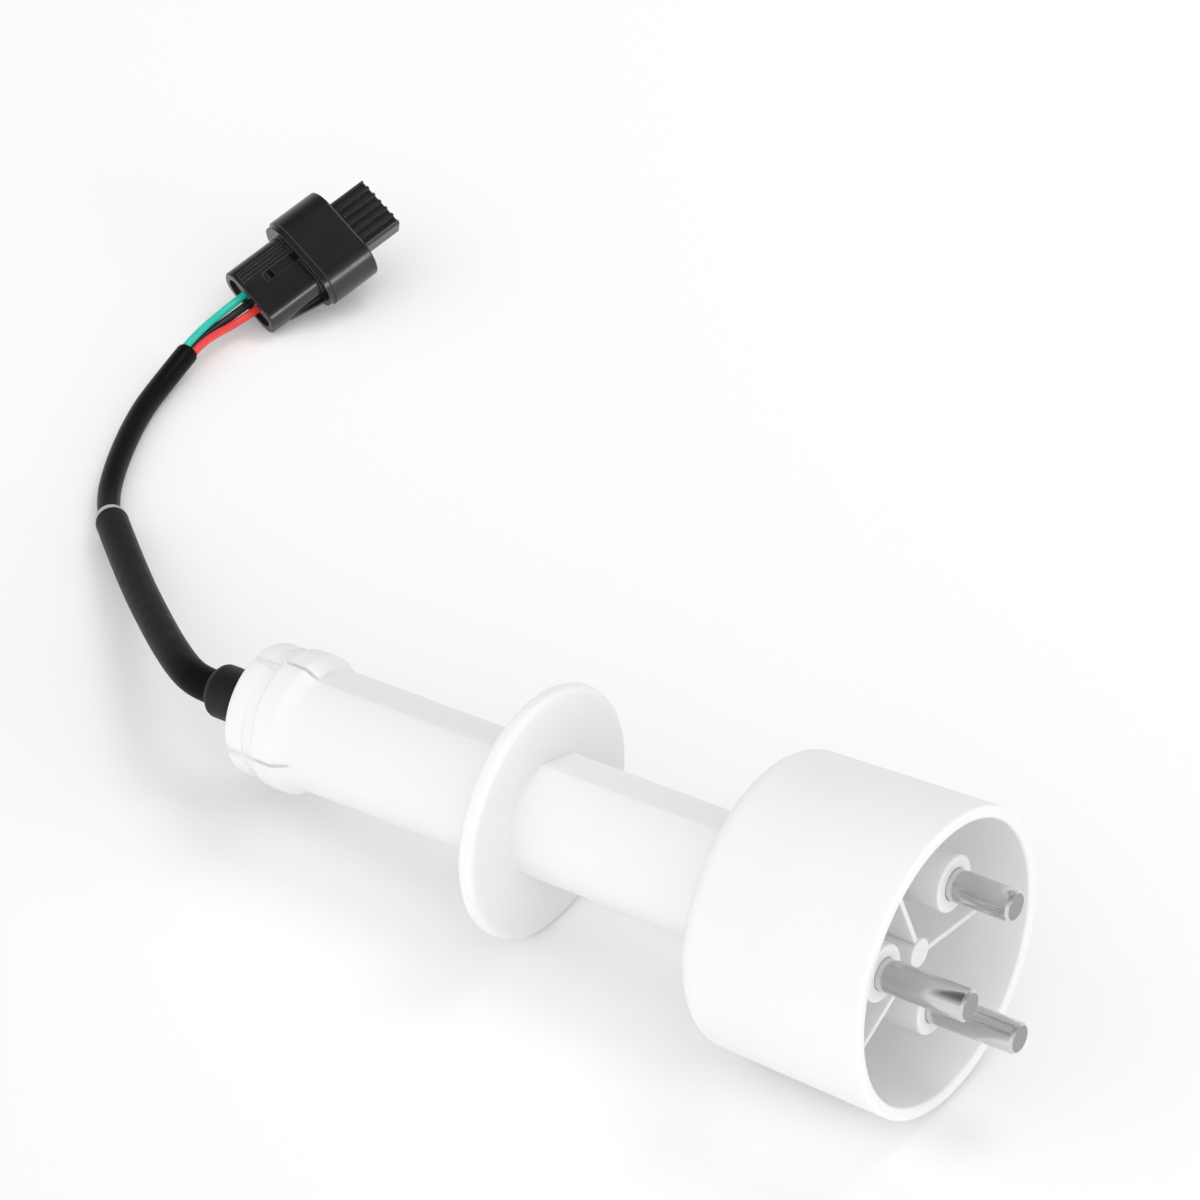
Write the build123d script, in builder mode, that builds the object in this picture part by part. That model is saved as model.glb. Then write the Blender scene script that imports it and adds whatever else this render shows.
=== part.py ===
from build123d import *

import os
from math import asin, atan2, cos, degrees, hypot, radians, sin, tan

# Water level probe: a plugged round stem with a stop flange, a cup that shelters three
# stainless electrodes, and a short sealed pigtail. Millimetres, +Z up.
#
# The probe lies on its side as it comes to rest: on the flange's edge and the cup's back
# corner, so its axis climbs a little toward the electrodes, which point along +X. The origin
# is on the floor, below the middle of the probe.

os.makedirs("parts", exist_ok=True)

# Distances along the probe are from the flange's front face, positive toward the electrodes.
# Angles round the probe are from the +Y side toward the top.

# Stem, flange and the flat along the stem
stem_radius = 12.5
stem_wall = 2.5
stem_flat_depth = 1.04
stem_flat_angle = 72.7
flange_radius = 25.5
flange_thickness = 3.6
flange_edge = 1.3

# Cup
cup_back = 49.0
cup_length = 41.0
cup_shoulder_radius = 29.3
cup_rim_radius = 30.6
cup_wall = 2.6
cup_shoulder_rounding = 3.75
cup_rim_rounding = 0.6
wiring_space = 12.4
carrier_ledge = 2.4

# Slotted collar at the cable's end
collar_back = -69.0
end_ring_radius = 13.4
end_ring_length = 4.7
end_ring_rounding = 1.5
groove_radius = 13.0
groove_length = 2.7
lock_ring_radius = 14.2
lock_ring_length = 5.0
lock_ring_rounding = 0.45
collar_taper_length = 3.1
slot_count = 4
slot_angle = 97.5
slot_width = 2.35
slot_floor_radius = 12.3
lock_slot_width = 0.85
lock_slot_shift = -3.5

# Electrode carrier
carrier_web = 3.5
wall_clearance = 0.1
electrode_pitch_radius = 14.2
short_electrode_angle = 40.9
boss_radius = 5.7
boss_below_rim = 5.3
boss_edge = 0.5
post_radius = 2.9
post_below_boss = 0.9
post_edge = 0.3
rib_thickness = 0.95
rib_start_below_post = 0.45
rib_fall = 4.0

# Electrodes and what holds them
electrode_count = 3
electrode_diameter = 6.35
electrode_clearance = 0.15
electrode_chamfer = 0.6
short_electrode_tip = 98.0
long_electrode_tip = 103.3
bore_chamfer = 0.25
stud_radius = 1.95
stud_clearance = 0.1
seal_thickness = 1.0
seal_clearance = 0.2
nut_across_flats = 7.0
nut_height = 3.2
nut_turn = 30.0
nut_hole_clearance = 0.05
stud_past_nut = 1.5
terminal_thickness = 0.8
terminal_eye_radius = 4.0
terminal_tongue_width = 3.2
crimp_radius = 1.6
crimp_length = 2.8

# Leads, end plug and grommet
lead_diameter = 1.75
lead_spread = 2.0
lead_bend = 4.8
plug_head_radius = 11.2
plug_head_thickness = 1.5
plug_length = 5.0
plug_clearance = 0.05
grommet_neck_radius = 5.0
grommet_flange_radius = 6.5
grommet_flange_thickness = 2.0
boot_radius = 5.5
boot_length = 12.0
boot_end_radius = 3.9
boot_rounding = 1.6

# Cable
sleeve_diameter = 7.0
liner_length = 1.0
liner_inset = 0.25
liner_clearance = 0.05
jacket_diameter = 4.9
wire_diameter = 1.75
wire_trefoil_radius = 1.25
green_wire_angle = 117.0
sleeve_exit = 3.2
jacket_exit = 7.5
wire_exit = 4.5
wire_approach = 4.0
bend_share = 0.45

# Connector, where its rear face lies and how it is turned
connector_x = -181.5
connector_y = 125.75
connector_heading = 73.0
connector_pitch = 17.0
connector_roll = 27.5
wire_pitch = 2.2
housing_width = 16.4
housing_height = 8.2
housing_corner = 3.5
housing_rear_edge = 0.4
skirt_start = 13.9
skirt_step_length = 1.4
skirt_step = 0.5
skirt_length = 13.1
skirt_width = 23.0
skirt_height = 12.4
skirt_wall = 1.4
skirt_floor = 2.2
skirt_edge = 0.4
tongue_past_skirt = 10.2
tongue_width = 13.0
tongue_height = 6.2
tongue_corner = 1.2
fin_count = 7
fin_width = 0.65
fin_depth = 0.9
fin_start_in_skirt = 6.0
seal_recess_width = 13.4
seal_recess_height = 5.4
seal_setback = 1.2
seal_mat_thickness = 3.0
seal_mat_clearance = 0.05
contact_width = 1.4
contact_height = 1.8
contact_clearance = 0.1
contact_crimp_radius = 0.7
contact_crimp_length = 3.0
contact_length = 22.0
contact_setback = 0.2
blade_hole = 0.8
blade_depth = 8.0
window_width = 2.2
window_shift = 1.2
window_start = 5.3
window_depth = 0.8
lock_pocket_start = 6.4
lock_pocket_depth = 1.6
lock_clearance = 0.15
lock_gap = 1.2
lock_block_length = 5.2
lock_block_height = 1.3
grip_groove_count = 4
grip_groove_width = 0.45
grip_groove_pitch = 0.85
grip_groove_depth = 0.5
grip_groove_gap = 0.4
grip_groove_start = 1.0
fin_wedge_length = 8.7
fin_wedge_height = 1.5
fin_wedge_thickness = 0.9
fin_wedge_drop = 1.5
interface_seal_length = 3.5
interface_seal_thickness = 1.3
interface_seal_clearance = 0.05

# The probe's two resting places are the flange's back edge and the cup's shoulder. The floor
# is the line that touches both roundings, and it sets the tilt and the axis height.
rim_front = cup_back + cup_length
cup_draft = (cup_rim_radius - cup_shoulder_radius) / cup_length
flange_touch = -flange_thickness + flange_edge
flange_touch_radius = flange_radius - flange_edge
shoulder_touch = cup_back + cup_shoulder_rounding
shoulder_touch_radius = (
    cup_shoulder_radius
    + cup_draft * cup_shoulder_rounding
    - cup_shoulder_rounding * hypot(1, cup_draft)
)
touch_rise = shoulder_touch_radius - flange_touch_radius
touch_run = shoulder_touch - flange_touch
tilt = atan2(touch_rise, touch_run) + asin(
    (cup_shoulder_rounding - flange_edge) / hypot(touch_rise, touch_run)
)
axis_height = flange_edge + flange_touch_radius * cos(tilt) - flange_touch * sin(tilt)

# The origin is below the middle of the stretch from the boot's end to the longest tip.
boot_end = collar_back - boot_length
electrode_step = 360 / electrode_count
lowest_angle = short_electrode_angle + 2 * electrode_step
electrode_drop = electrode_pitch_radius * -sin(radians(lowest_angle))
tip_radius = electrode_diameter / 2 - electrode_chamfer
tip_reach = long_electrode_tip * cos(tilt) + (electrode_drop + tip_radius) * sin(tilt)
boot_reach = -boot_end * cos(tilt) + boot_end_radius * sin(tilt)
origin_x = (boot_reach - tip_reach) / 2

# Across the probe: local x is +Y, local y is up, and the normal points at the electrodes.
probe = Plane(
    origin=(origin_x, 0, axis_height),
    x_dir=(0, 1, 0),
    z_dir=(cos(tilt), 0, sin(tilt)),
)
spin_axis = Axis(probe.origin, probe.z_dir)


def across(distance):
    """The plane across the probe at a distance along it."""
    return probe.offset(distance)


def along(angle):
    """The plane through the axis at an angle: local x is along it, local y is outward."""
    outward = probe.x_dir * cos(radians(angle)) + probe.y_dir * sin(radians(angle))
    return Plane(origin=probe.origin, x_dir=probe.z_dir, z_dir=probe.z_dir.cross(outward))


def rims(part, radius, distance):
    """The round edges of one radius at one distance along the probe."""
    found = part.edges().filter_by(GeomType.CIRCLE)
    plane = across(distance)
    return found.filter_by(
        lambda edge: abs(edge.radius - radius) < 0.01
        and abs(plane.to_local_coords(edge.arc_center).Z) < 0.01
    )


def cup_inside(distance):
    """The cup's inner radius at a distance along the probe."""
    return cup_shoulder_radius + cup_draft * (distance - cup_back) - cup_wall


end_ring_front = collar_back + end_ring_length
lock_ring_back = end_ring_front + groove_length
lock_ring_front = lock_ring_back + lock_ring_length
collar_front = lock_ring_front + collar_taper_length
bore_radius = stem_radius - stem_wall
cup_floor = cup_back + cup_wall
ledge = cup_floor + wiring_space
ledge_radius = cup_inside(ledge) - carrier_ledge
carrier_front = ledge + carrier_web
boss_front = rim_front - boss_below_rim
post_front = boss_front - post_below_boss

# Probe body: stem, flange, collar and cup in one moulding
with BuildPart() as probe_body:
    with BuildSketch(along(0)):
        with BuildLine():
            Polyline(
                (collar_back, 0),
                (collar_back, end_ring_radius),
                (end_ring_front, end_ring_radius),
                (end_ring_front, groove_radius),
                (lock_ring_back, groove_radius),
                (lock_ring_back, lock_ring_radius),
                (lock_ring_front, lock_ring_radius),
                (collar_front, stem_radius),
                (-flange_thickness, stem_radius),
                (-flange_thickness, flange_radius),
                (0, flange_radius),
                (0, stem_radius),
                (cup_back, stem_radius),
                (cup_back, cup_shoulder_radius),
                (rim_front, cup_rim_radius),
                (rim_front, 0),
                close=True,
            )
        make_face()
    revolve(axis=spin_axis)

    # Rounded outer corners
    fillet(rims(probe_body.part, end_ring_radius, collar_back), end_ring_rounding)
    fillet(rims(probe_body.part, lock_ring_radius, lock_ring_back), lock_ring_rounding)
    fillet(rims(probe_body.part, lock_ring_radius, lock_ring_front), lock_ring_rounding)
    fillet(rims(probe_body.part, flange_radius, -flange_thickness), flange_edge)
    fillet(rims(probe_body.part, flange_radius, 0), flange_edge)
    fillet(rims(probe_body.part, cup_shoulder_radius, cup_back), cup_shoulder_rounding)
    fillet(rims(probe_body.part, cup_rim_radius, rim_front), cup_rim_rounding)

    # Cable bore, wiring space behind the carrier and the drafted inside of the cup
    with BuildSketch(along(0)):
        with BuildLine():
            Polyline(
                (collar_back, 0),
                (collar_back, plug_head_radius + plug_clearance),
                (collar_back + plug_head_thickness, plug_head_radius + plug_clearance),
                (collar_back + plug_head_thickness, bore_radius),
                (cup_floor, bore_radius),
                (cup_floor, ledge_radius),
                (ledge, ledge_radius),
                (ledge, cup_inside(ledge)),
                (rim_front, cup_inside(rim_front)),
                (rim_front, 0),
                close=True,
            )
        make_face()
    revolve(axis=spin_axis, mode=Mode.SUBTRACT)
    fillet(rims(probe_body.part, cup_inside(rim_front), rim_front), cup_rim_rounding)

    # The flat along the stem, on both sides of the flange
    for start, end in ((collar_front, -flange_thickness), (0, cup_back)):
        with BuildSketch(across(start)):
            with Locations(Location((0, 0), stem_flat_angle)):
                with Locations((stem_radius, 0)):
                    Rectangle(2 * stem_flat_depth, 2 * stem_radius)
        extrude(amount=end - start, mode=Mode.SUBTRACT)

    # Slots across the collar, wide in the end ring and narrow in the lock ring
    slot_depth = lock_ring_radius - slot_floor_radius
    with BuildSketch(across(collar_back)):
        with PolarLocations(slot_floor_radius + slot_depth / 2, slot_count, slot_angle):
            Rectangle(slot_depth, slot_width)
    extrude(amount=lock_ring_back - collar_back, mode=Mode.SUBTRACT)
    with BuildSketch(across(lock_ring_back)):
        with PolarLocations(
            slot_floor_radius + slot_depth / 2, slot_count, slot_angle + lock_slot_shift
        ):
            Rectangle(slot_depth, lock_slot_width)
    extrude(amount=lock_ring_length + collar_taper_length, mode=Mode.SUBTRACT)
probe_body.part.label = "probe_body"
export_step(probe_body.part, "parts/probe_body.step")

# Electrode carrier: web, ribs, bosses and middle post in one moulding
with BuildPart() as electrode_carrier:
    with BuildSketch(across(ledge)):
        Circle(cup_inside(ledge))
    extrude(amount=carrier_web)
    rib_front = post_front - rib_start_below_post
    for turn in range(electrode_count):
        rib_angle = short_electrode_angle + electrode_step * (turn + 0.5)
        with BuildSketch(along(rib_angle)):
            with BuildLine():
                Polyline(
                    (ledge, 0),
                    (ledge, cup_rim_radius),
                    (rib_front - rib_fall, cup_rim_radius),
                    (rib_front, post_radius),
                    (rib_front, 0),
                    close=True,
                )
            make_face()
        extrude(amount=rib_thickness / 2, both=True)

    # The outline follows the cup's drafted wall with a small clearance
    with BuildSketch(along(0)):
        with BuildLine():
            Polyline(
                (ledge, 0),
                (ledge, cup_inside(ledge) - wall_clearance),
                (rim_front, cup_inside(rim_front) - wall_clearance),
                (rim_front, 0),
                close=True,
            )
        make_face()
    revolve(axis=spin_axis, mode=Mode.INTERSECT)

    with BuildSketch(across(ledge)):
        with PolarLocations(electrode_pitch_radius, electrode_count, short_electrode_angle):
            Circle(boss_radius)
    extrude(amount=boss_front - ledge)
    with BuildSketch(across(ledge)):
        Circle(post_radius)
    extrude(amount=post_front - ledge)
    fillet(rims(electrode_carrier.part, boss_radius, boss_front), boss_edge)
    fillet(rims(electrode_carrier.part, post_radius, post_front), post_edge)

    # Stepped bores: the electrode's socket with its seal, and the stud's hole in the web
    socket_radius = electrode_diameter / 2 + electrode_clearance
    electrode_seat = carrier_front
    with BuildSketch(across(boss_front)):
        with PolarLocations(electrode_pitch_radius, electrode_count, short_electrode_angle):
            Circle(socket_radius)
    extrude(amount=electrode_seat - seal_thickness - boss_front, mode=Mode.SUBTRACT)
    with BuildSketch(across(ledge)):
        with PolarLocations(electrode_pitch_radius, electrode_count, short_electrode_angle):
            Circle(stud_radius + stud_clearance)
    extrude(amount=carrier_web, mode=Mode.SUBTRACT)
    chamfer(rims(electrode_carrier.part, socket_radius, boss_front), bore_chamfer)
electrode_carrier.part.label = "electrode_carrier"
export_step(electrode_carrier.part, "parts/electrode_carrier.step")

# Electrodes: turned rods with a shoulder on the seal and a stud through the web
terminal_back = ledge - terminal_thickness
stud_back = terminal_back - nut_height - stud_past_nut


def place(angle):
    """Where an electrode's axis crosses a plane across the probe."""
    turn = radians(angle)
    return electrode_pitch_radius * cos(turn), electrode_pitch_radius * sin(turn)


def electrode(angle, tip):
    """A rod with its chamfered tip at a distance, and its stud."""
    with BuildPart() as rod:
        with BuildSketch(across(electrode_seat)):
            with Locations(place(angle)):
                Circle(electrode_diameter / 2)
        extrude(amount=tip - electrode_seat)
        chamfer(rims(rod.part, electrode_diameter / 2, tip), electrode_chamfer)
        with BuildSketch(across(electrode_seat)):
            with Locations(place(angle)):
                Circle(stud_radius)
        extrude(amount=stud_back - electrode_seat)
    return rod


short_electrode = electrode(short_electrode_angle, short_electrode_tip)
short_electrode.part.label = "short_electrode"
export_step(short_electrode.part, "parts/short_electrode.step")

near_electrode = electrode(short_electrode_angle + electrode_step, long_electrode_tip)
near_electrode.part.label = "near_electrode"
export_step(near_electrode.part, "parts/near_electrode.step")

far_electrode = electrode(short_electrode_angle + 2 * electrode_step, long_electrode_tip)
far_electrode.part.label = "far_electrode"
export_step(far_electrode.part, "parts/far_electrode.step")

# Seals, ring terminals and leads, one of each for every electrode
crimp_distance = ledge - crimp_radius - wall_clearance
crimp_outer = electrode_pitch_radius - terminal_eye_radius
crimp_inner = crimp_outer - crimp_length
grommet_inner_face = collar_back + plug_length + grommet_flange_thickness
lead_colours = ("green", "black", "red")

for index, colour in enumerate(lead_colours):
    angle = short_electrode_angle + electrode_step * index
    with BuildPart() as electrode_seal:
        with BuildSketch(across(electrode_seat - seal_thickness)):
            with Locations(place(angle)):
                Circle(socket_radius - seal_clearance)
                Circle(stud_radius + nut_hole_clearance, mode=Mode.SUBTRACT)
        extrude(amount=seal_thickness)
    electrode_seal.part.label = f"electrode_seal_{index + 1}"
    export_step(electrode_seal.part, f"parts/electrode_seal_{index + 1}.step")

    with BuildPart() as ring_terminal:
        with BuildSketch(across(terminal_back)):
            with Locations(place(angle)):
                Circle(terminal_eye_radius)
            with Locations(Location((0, 0), angle)):
                with Locations((electrode_pitch_radius, 0)):
                    Rectangle(
                        electrode_pitch_radius - crimp_inner,
                        terminal_tongue_width,
                        align=(Align.MAX, Align.CENTER),
                    )
            with Locations(place(angle)):
                Circle(stud_radius + nut_hole_clearance, mode=Mode.SUBTRACT)
        extrude(amount=terminal_thickness)
        crimp_plane = along(angle)
        with BuildSketch(
            Plane(
                origin=crimp_plane.from_local_coords((crimp_distance, crimp_outer, 0)),
                z_dir=-crimp_plane.y_dir,
            )
        ):
            Circle(crimp_radius)
        extrude(amount=crimp_length)
    ring_terminal.part.label = f"ring_terminal_{index + 1}"
    export_step(ring_terminal.part, f"parts/ring_terminal_{index + 1}.step")

    with BuildPart() as lead:
        with BuildLine(along(angle)) as lead_path:
            FilletPolyline(
                (crimp_distance, crimp_inner),
                (crimp_distance, lead_spread),
                (grommet_inner_face, lead_spread),
                radius=lead_bend,
            )
        with BuildSketch(Plane(origin=lead_path.line @ 0, z_dir=lead_path.line % 0)):
            Circle(lead_diameter / 2)
        sweep(path=lead_path.line)
    lead.part.label = f"{colour}_lead"
    export_step(lead.part, f"parts/{colour}_lead.step")

# Electrode nuts: three hex nuts that pull the shoulders onto the seals
with BuildPart() as electrode_nuts:
    with BuildSketch(across(terminal_back)):
        with PolarLocations(electrode_pitch_radius, electrode_count, short_electrode_angle):
            RegularPolygon(nut_across_flats / 2, 6, major_radius=False, rotation=nut_turn)
            Circle(stud_radius + nut_hole_clearance, mode=Mode.SUBTRACT)
    extrude(amount=-nut_height)
electrode_nuts.part.label = "electrode_nuts"
export_step(electrode_nuts.part, "parts/electrode_nuts.step")

# End plug: closes the stem and holds the grommet
with BuildPart() as end_plug:
    with BuildSketch(across(collar_back)):
        Circle(plug_head_radius)
    extrude(amount=plug_head_thickness)
    with BuildSketch(across(collar_back)):
        Circle(bore_radius - plug_clearance)
    extrude(amount=plug_length)
    with BuildSketch(across(collar_back)):
        Circle(grommet_neck_radius)
    extrude(amount=plug_length, mode=Mode.SUBTRACT)
end_plug.part.label = "end_plug"
export_step(end_plug.part, "parts/end_plug.step")

# Cable grommet: a flange behind the plug, a neck through it and the round-ended boot
with BuildPart() as cable_grommet:
    with BuildSketch(along(0)):
        with BuildLine():
            Polyline(
                (grommet_inner_face, 0),
                (grommet_inner_face, grommet_flange_radius),
                (collar_back + plug_length, grommet_flange_radius),
                (collar_back + plug_length, grommet_neck_radius - plug_clearance),
                (collar_back, grommet_neck_radius - plug_clearance),
                (collar_back, boot_radius),
                (boot_end + boot_rounding, boot_radius),
            )
            RadiusArc(
                (boot_end + boot_rounding, boot_radius),
                (boot_end, boot_end_radius),
                boot_rounding,
            )
            Polyline((boot_end, boot_end_radius), (boot_end, 0), (grommet_inner_face, 0))
        make_face()
    revolve(axis=spin_axis)
cable_grommet.part.label = "cable_grommet"
export_step(cable_grommet.part, "parts/cable_grommet.step")


def bends(route):
    """The radius at each corner of a cord: as large as its two runs allow."""
    radii = []
    for before, corner, after in zip(route, route[1:], route[2:]):
        arriving = corner - before
        leaving = after - corner
        half_turn = radians(arriving.get_angle(leaving)) / 2
        radii.append(bend_share * min(arriving.length, leaving.length) / tan(half_turn))
    return radii


def cord(name, route, diameter):
    """A round cord along a route of straight runs and tangent arcs."""
    radii = bends(route)
    with BuildPart() as piece:
        with BuildLine() as path:
            FilletPolyline(*route, radius=radii)
        centreline = path.wires()[0]
        with BuildSketch(Plane(origin=centreline @ 0, z_dir=centreline % 0)) as section:
            Circle(diameter / 2)
        sweep(path=centreline)
    expected = centreline.length * section.sketch.area
    print(name, "length", round(centreline.length, 1), "radii", [round(r, 1) for r in radii])
    print(name, "volume over section times length", round(piece.part.volume / expected, 5))
    return piece


# Cable route: straight out of the boot, down to the floor and round toward +Y
cable_start = probe.from_local_coords((0, 0, boot_end))
sleeve_route = [
    cable_start,
    cable_start - probe.z_dir * sleeve_exit,
    Vector(-99.9, 1.3, 19.1),
    Vector(-106.0, 5.1, 17.7),
    Vector(-117.0, 13.4, 14.5),
    Vector(-138.5, 31.0, 8.4),
    Vector(-157.7, 48.0, 3.9),
]
sleeve_direction = (sleeve_route[-1] - sleeve_route[-2]).normalized()
jacket_route = [
    sleeve_route[-1],
    sleeve_route[-1] + sleeve_direction * jacket_exit,
    Vector(-170.8, 65.4, 2.5),
    Vector(-178.2, 82.6, 2.6),
    Vector(-181.2, 96.4, 3.2),
    Vector(-182.0, 105.0, 4.8),
]

lower_sleeve = cord("lower_sleeve", sleeve_route, sleeve_diameter)
lower_sleeve.part.label = "lower_sleeve"
export_step(lower_sleeve.part, "parts/lower_sleeve.step")

# The sleeve's lining, which shows as a ring at its end
with BuildPart() as sleeve_liner:
    with BuildSketch(Plane(origin=sleeve_route[-1], z_dir=sleeve_direction)):
        Circle(sleeve_diameter / 2 - liner_inset)
        Circle(jacket_diameter / 2 + liner_clearance, mode=Mode.SUBTRACT)
    extrude(amount=liner_length)
sleeve_liner.part.label = "sleeve_liner"
export_step(sleeve_liner.part, "parts/sleeve_liner.step")

cable_jacket = cord("cable_jacket", jacket_route, jacket_diameter)
cable_jacket.part.label = "cable_jacket"
export_step(cable_jacket.part, "parts/cable_jacket.step")

# Connector frame: local z runs from the rear face to the tongue's end, local x is across
# its wide side and climbs to the left. The rear face's rounded lower corner is on the floor,
# and the cable's spring holds the tongue up.
roll = radians(connector_roll)
pitch = radians(connector_pitch)
corner_drop = (
    (housing_width / 2 - housing_corner) * sin(roll)
    + (housing_height / 2 - housing_corner) * cos(roll)
    + housing_corner
    - housing_rear_edge
)
connector_height = corner_drop * cos(pitch) + housing_rear_edge * (1 - sin(pitch))
level_side = Vector(0, 1, 0).rotate(Axis.Z, connector_heading)
connector_way = Vector(cos(pitch), 0, sin(pitch)).rotate(Axis.Z, connector_heading)
connector = Plane(
    origin=(connector_x, connector_y, connector_height),
    x_dir=level_side.rotate(Axis((0, 0, 0), connector_way), connector_roll),
    z_dir=connector_way,
)
contact_back = seal_setback + seal_mat_thickness + contact_setback
skirt_front = skirt_start + skirt_length
skirt_floor_front = skirt_start + skirt_floor
tongue_front = skirt_front + tongue_past_skirt
contact_places = [(wire_pitch, 0), (0, 0), (-wire_pitch, 0)]

# Connector housing: ribbed rear, oval skirt and finned tongue in one moulding
with BuildPart() as connector_housing:
    with BuildSketch(connector):
        RectangleRounded(housing_width, housing_height, housing_corner)
    extrude(amount=skirt_floor_front)
    rear_edges = connector_housing.faces().sort_by(Axis(connector.origin, connector.z_dir))[0].edges()
    fillet(rear_edges, housing_rear_edge)
    with BuildSketch(connector.offset(skirt_start)):
        SlotOverall(skirt_width - 2 * skirt_step, skirt_height - 2 * skirt_step)
    extrude(amount=skirt_step_length)
    with BuildSketch(connector.offset(skirt_start + skirt_step_length)):
        SlotOverall(skirt_width, skirt_height)
    extrude(amount=skirt_length - skirt_step_length)
    front_edges = connector_housing.faces().sort_by(Axis(connector.origin, connector.z_dir))[-1].edges()
    fillet(front_edges, skirt_edge)
    with BuildSketch(connector.offset(skirt_front)):
        SlotOverall(skirt_width - 2 * skirt_wall, skirt_height - 2 * skirt_wall)
    extrude(amount=skirt_floor_front - skirt_front, mode=Mode.SUBTRACT)
    with BuildSketch(connector.offset(skirt_floor_front)):
        RectangleRounded(tongue_width, tongue_height, tongue_corner)
    extrude(amount=tongue_front - skirt_floor_front)

    # Grooves that leave thin fins along both faces of the tongue
    fin_pitch = (tongue_width - fin_width) / (fin_count - 1)
    with BuildSketch(connector.offset(tongue_front)):
        for side in (-1, 1):
            with Locations((0, side * (tongue_height / 2 - fin_depth / 2))):
                with GridLocations(fin_pitch, 0, fin_count - 1, 1):
                    Rectangle(fin_pitch - fin_width, fin_depth)
    extrude(
        amount=skirt_floor_front + fin_start_in_skirt - tongue_front, mode=Mode.SUBTRACT
    )

    # Recess for the wire seal, contact cavities and the mate's blade holes
    with BuildSketch(connector):
        SlotOverall(seal_recess_width, seal_recess_height)
    extrude(amount=contact_back, mode=Mode.SUBTRACT)
    with BuildSketch(connector.offset(contact_back)):
        with Locations(*contact_places):
            Rectangle(
                contact_width + 2 * contact_clearance, contact_height + 2 * contact_clearance
            )
    extrude(amount=contact_length, mode=Mode.SUBTRACT)
    with BuildSketch(connector.offset(tongue_front)):
        with Locations(*contact_places):
            Rectangle(blade_hole, blade_hole)
    extrude(amount=contact_back + contact_length - tongue_front, mode=Mode.SUBTRACT)

    # Window in the top face, with the pocket of the secondary lock
    for start, depth in ((window_start, window_depth), (lock_pocket_start, lock_pocket_depth)):
        with BuildSketch(connector.offset(start)):
            with Locations((window_shift, housing_height / 2 - depth / 2)):
                Rectangle(window_width, depth)
        extrude(amount=skirt_start - start, mode=Mode.SUBTRACT)

    # Grip grooves beside the window, on the top face
    first_groove = window_shift + window_width / 2 + grip_groove_gap + grip_groove_width / 2
    with BuildSketch(connector.offset(grip_groove_start)):
        for groove in range(grip_groove_count):
            groove_place = first_groove + groove * grip_groove_pitch
            with Locations((groove_place, housing_height / 2 - grip_groove_depth / 2)):
                Rectangle(grip_groove_width, grip_groove_depth)
    extrude(amount=skirt_start - grip_groove_start, mode=Mode.SUBTRACT)

    # Wedge fin on the lower side, growing toward the skirt
    fin_wedge = Plane(
        origin=connector.from_local_coords((-housing_width / 2, -fin_wedge_drop, skirt_start)),
        x_dir=connector.z_dir,
        z_dir=connector.y_dir,
    )
    with BuildSketch(fin_wedge):
        with BuildLine():
            Polyline(
                (0, housing_rear_edge),
                (-fin_wedge_length, housing_rear_edge),
                (-fin_wedge_length, 0),
                (0, -fin_wedge_height),
                close=True,
            )
        make_face()
    extrude(amount=fin_wedge_thickness / 2, both=True)
connector_housing.part.label = "connector_housing"
export_step(connector_housing.part, "parts/connector_housing.step")

# Wire seal: one soft mat with a hole for each wire
with BuildPart() as wire_seal:
    with BuildSketch(connector.offset(seal_setback)):
        SlotOverall(
            seal_recess_width - 2 * seal_mat_clearance, seal_recess_height - 2 * seal_mat_clearance
        )
        with Locations(*contact_places):
            Circle(wire_diameter / 2 + seal_mat_clearance, mode=Mode.SUBTRACT)
    extrude(amount=seal_mat_thickness)
wire_seal.part.label = "wire_seal"
export_step(wire_seal.part, "parts/wire_seal.step")

# Contacts: a crimp, a box body and the socket for the mate's blade
for index, spot in enumerate(contact_places):
    with BuildPart() as contact:
        with BuildSketch(connector.offset(contact_back)):
            with Locations(spot):
                Circle(contact_crimp_radius)
        extrude(amount=contact_crimp_length)
        with BuildSketch(connector.offset(contact_back + contact_crimp_length)):
            with Locations(spot):
                Rectangle(contact_width, contact_height)
        extrude(amount=contact_length - contact_crimp_length)
        with BuildSketch(connector.offset(contact_back + contact_length)):
            with Locations(spot):
                Rectangle(blade_hole, blade_hole)
        extrude(amount=-blade_depth, mode=Mode.SUBTRACT)
    contact.part.label = f"contact_{index + 1}"
    export_step(contact.part, f"parts/contact_{index + 1}.step")

# Secondary lock: the block in the window that keeps the contacts in
lock_middle = housing_height / 2 - lock_pocket_depth + lock_block_height / 2
with BuildPart() as secondary_lock:
    with BuildSketch(connector.offset(lock_pocket_start + lock_gap)):
        with Locations((window_shift, lock_middle)):
            Rectangle(window_width - 2 * lock_clearance, lock_block_height)
    extrude(amount=lock_block_length)
secondary_lock.part.label = "secondary_lock"
export_step(secondary_lock.part, "parts/secondary_lock.step")

# Interface seal: the soft ring round the tongue's root, on the skirt's floor
with BuildPart() as interface_seal:
    with BuildSketch(connector.offset(skirt_floor_front)):
        seal_growth = 2 * (interface_seal_clearance + interface_seal_thickness)
        RectangleRounded(
            tongue_width + seal_growth,
            tongue_height + seal_growth,
            tongue_corner + seal_growth / 2,
        )
        RectangleRounded(
            tongue_width + 2 * interface_seal_clearance,
            tongue_height + 2 * interface_seal_clearance,
            tongue_corner + interface_seal_clearance,
            mode=Mode.SUBTRACT,
        )
    extrude(amount=interface_seal_length)
interface_seal.part.label = "interface_seal"
export_step(interface_seal.part, "parts/interface_seal.step")

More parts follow.
